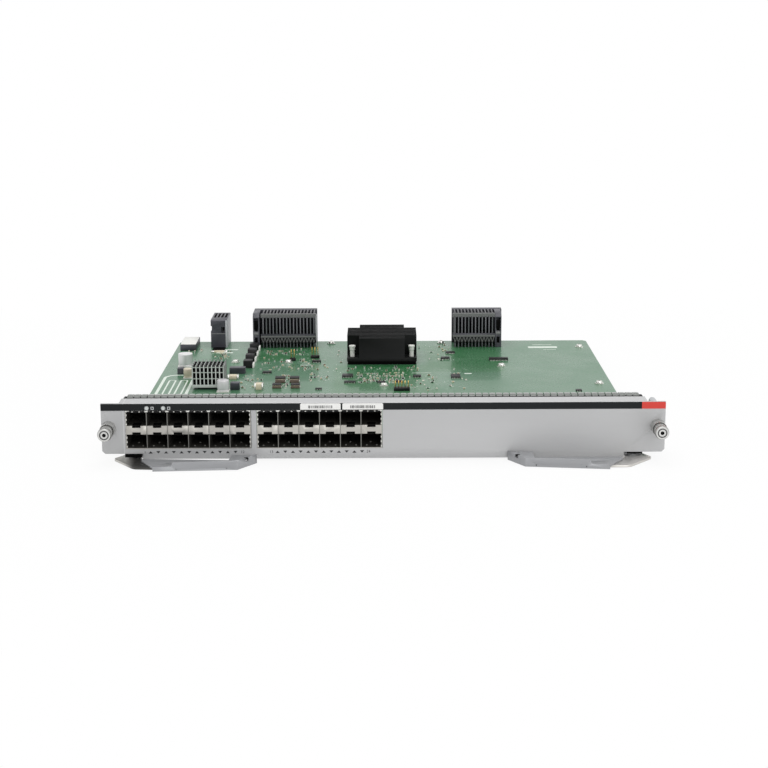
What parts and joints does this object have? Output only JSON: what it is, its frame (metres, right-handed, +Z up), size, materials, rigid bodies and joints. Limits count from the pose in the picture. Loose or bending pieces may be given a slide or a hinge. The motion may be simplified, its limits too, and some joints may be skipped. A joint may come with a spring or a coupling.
{
  "type": "switch line card",
  "caption": "Slide-in line card: a wide faceplate with stacked plug-in ports, ejector levers and captive screws, in front of a green circuit board on a tray with backplane connectors.",
  "frame": {"origin": "middle of the underside: halfway along the width and the depth, level with the lever grips' undersides", "axes": "+X towards the faceplate's right end as seen from the front, +Y from the faceplate to the backplane connectors, +Z up from the tray to the board's parts"},
  "size_m": [0.386, 0.4054, 0.0404],
  "materials": {
    "panel_paint": "satin light grey paint with a faint grain",
    "stripe": "satin dark printed film",
    "patch": "satin red printed film",
    "label": "satin white film",
    "spring_steel": "plated spring steel",
    "board": "glossy green solder mask",
    "tray_steel": "zinc-plated steel",
    "bright_steel": "bright plated steel",
    "cage": "plated copper-alloy sheet, silver with a warm tint",
    "black_plastic": "matt black moulding",
    "clear_plastic": "clear light pipe, unlit",
    "grip_paint": "satin grey paint",
    "screw_steel": "plated steel with a turned face",
    "slate_plastic": "matt slate grey moulding",
    "contact_metal": "gold-plated contacts",
    "black_sink": "black anodised aluminium",
    "grey_sink": "plain aluminium",
    "white_plastic": "white moulded push pin",
    "can_metal": "satin aluminium can",
    "ferrite": "brown-black ferrite",
    "cream_plastic": "cream ceramic"
  },
  "bodies": {
    "card": {"board_chips": "black_plastic", "board_screws": "bright_steel", "board_standoffs": "tray_steel", "cage_dividers_left": "cage", "cage_dividers_right": "cage", "cage_left": "cage", "cage_middle_bars_left": "cage", "cage_middle_bars_right": "cage", "cage_right": "cage", "cage_springs_left": "bright_steel", "cage_springs_right": "bright_steel", "capacitors": "can_metal", "captive_ferrules": "bright_steel", "captive_spring_left": "bright_steel", "captive_spring_right": "bright_steel", "ceramic_parts": "cream_plastic", "chip_heat_sink": "black_sink", "circuit_board": "board", "faceplate": "panel_paint", "guide_pin": "tray_steel", "header_bases": "black_plastic", "header_pins": "contact_metal", "inductors": "ferrite", "lever_pivots": "tray_steel", "lever_washers": "tray_steel", "light_pipes": "clear_plastic", "module_row": "black_plastic", "pin_fin_chip": "black_plastic", "pin_fin_heat_sink": "grey_sink", "port_connectors_left": "black_plastic", "port_connectors_right": "black_plastic", "power_blades": "contact_metal", "power_connector": "slate_plastic", "power_modules": "slate_plastic", "push_pins": "white_plastic", "signal_combs": "slate_plastic", "signal_guides": "slate_plastic", "signal_mating_blocks": "slate_plastic", "signal_wafers": "slate_plastic", "star_washers": "bright_steel", "stripe_end_patch": "patch", "stripe_film": "stripe", "stripe_labels": "label", "switch_chip": "black_plastic", "top_gasket": "spring_steel", "tray": "tray_steel", "tray_rivets": "tray_steel"},
    "lever_left": {"lever_plate_left": "spring_steel", "lever_grip_left": "grip_paint", "lever_rivets_left": "tray_steel"},
    "lever_right": {"lever_plate_right": "spring_steel", "lever_grip_right": "grip_paint", "lever_rivets_right": "tray_steel"},
    "thrust_washer_left": {"captive_washer_left": "tray_steel"},
    "thrust_washer_right": {"captive_washer_right": "tray_steel"},
    "knob_left": {"captive_screw_left": "screw_steel"},
    "knob_right": {"captive_screw_right": "screw_steel"}
  },
  "joints": [
    {"name": "lever_left_swing", "type": "hinge", "parent": "card", "child": "lever_left", "pos_m": [-0.172, -0.16526, 0.0017], "axis": [0, 0, -1], "range_deg": [-4, 56]},
    {"name": "lever_right_swing", "type": "hinge", "parent": "card", "child": "lever_right", "pos_m": [0.172, -0.16526, 0.0017], "axis": [0, 0, 1], "range_deg": [0, 60]},
    {"name": "captive_press_left", "type": "slide", "parent": "card", "child": "thrust_washer_left", "axis": [0, 1, 0], "range_m": [0, 0.005], "stiffness_N_per_m": 200, "springref_m": -0.004, "deforming": ["captive_spring_left"]},
    {"name": "captive_turn_left", "type": "hinge", "parent": "thrust_washer_left", "child": "knob_left", "pos_m": [-0.188, -0.18746, 0.0231], "axis": [0, 1, 0], "continuous": true},
    {"name": "captive_press_right", "type": "slide", "parent": "card", "child": "thrust_washer_right", "axis": [0, 1, 0], "range_m": [0, 0.005], "stiffness_N_per_m": 200, "springref_m": -0.004, "deforming": ["captive_spring_right"]},
    {"name": "captive_turn_right", "type": "hinge", "parent": "thrust_washer_right", "child": "knob_right", "pos_m": [0.188, -0.18746, 0.0231], "axis": [0, 1, 0], "continuous": true}
  ]
}
